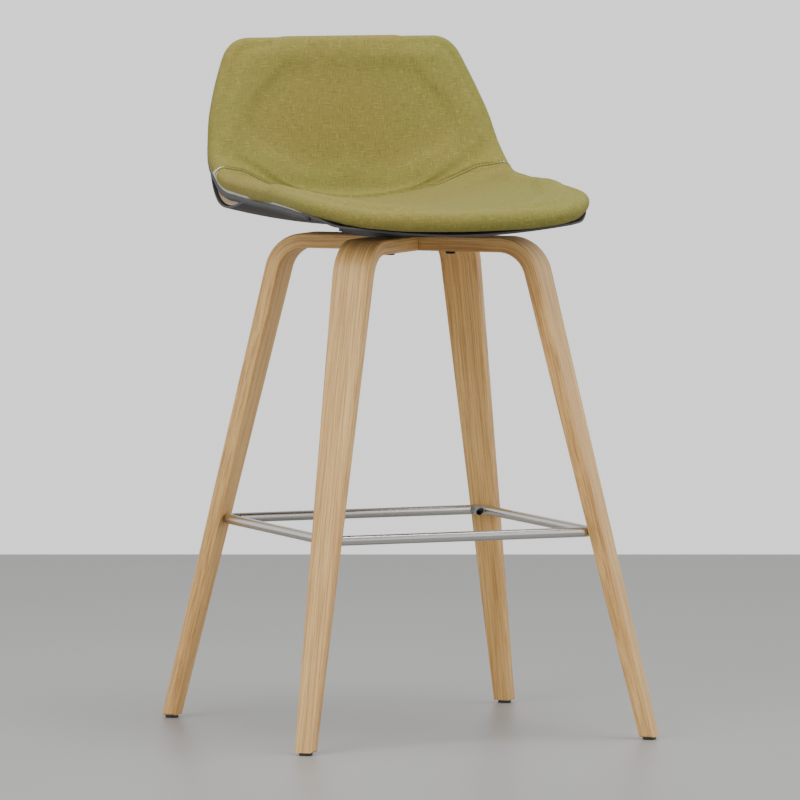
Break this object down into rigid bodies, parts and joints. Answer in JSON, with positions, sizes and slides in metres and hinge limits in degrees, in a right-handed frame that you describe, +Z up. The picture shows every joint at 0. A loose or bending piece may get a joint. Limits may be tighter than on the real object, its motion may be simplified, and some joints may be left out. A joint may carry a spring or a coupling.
{
  "type": "bar stool with footrest",
  "caption": "Bar stool with a low-backed padded bucket seat on bent-wood legs that meet in mitres under it, and a square steel bar footrest.",
  "frame": {"origin": "on the floor, under the middle of the stool's legs", "axes": "+Z up; a sitter faces -Y; +X is to the sitter's left"},
  "size_m": [0.5486, 0.5589, 0.974],
  "materials": {
    "wood": "clear matt lacquer on oak",
    "glide_plastic": "moulded",
    "zinc": "zinc plated",
    "stainless": "satin",
    "black_steel": "black oxide",
    "brass": "turned",
    "fabric": "woven upholstery",
    "foam": "moulded polyurethane foam",
    "plywood": "raw moulded plywood",
    "shell_plastic": "fine grained"
  },
  "bodies": {
    "root": {"leg_front_right": "wood", "leg_front_left": "wood", "leg_rear_left": "wood", "leg_rear_right": "wood", "glide_front_right": "glide_plastic", "glide_front_left": "glide_plastic", "glide_rear_left": "glide_plastic", "glide_rear_right": "glide_plastic", "glide_nails": "zinc", "footrest_ring": "stainless", "footrest_screws": "black_steel", "footrest_inserts": "brass", "mounting_plate": "black_steel", "plate_screws": "zinc", "seat_bolts": "black_steel", "bolt_washers": "black_steel", "tee_nuts": "zinc", "seat_cover_back": "fabric", "seat_cover_seat": "fabric", "seat_foam": "foam", "seat_shell_inner": "plywood", "seat_shell_outer": "shell_plastic"}
  },
  "joints": []
}
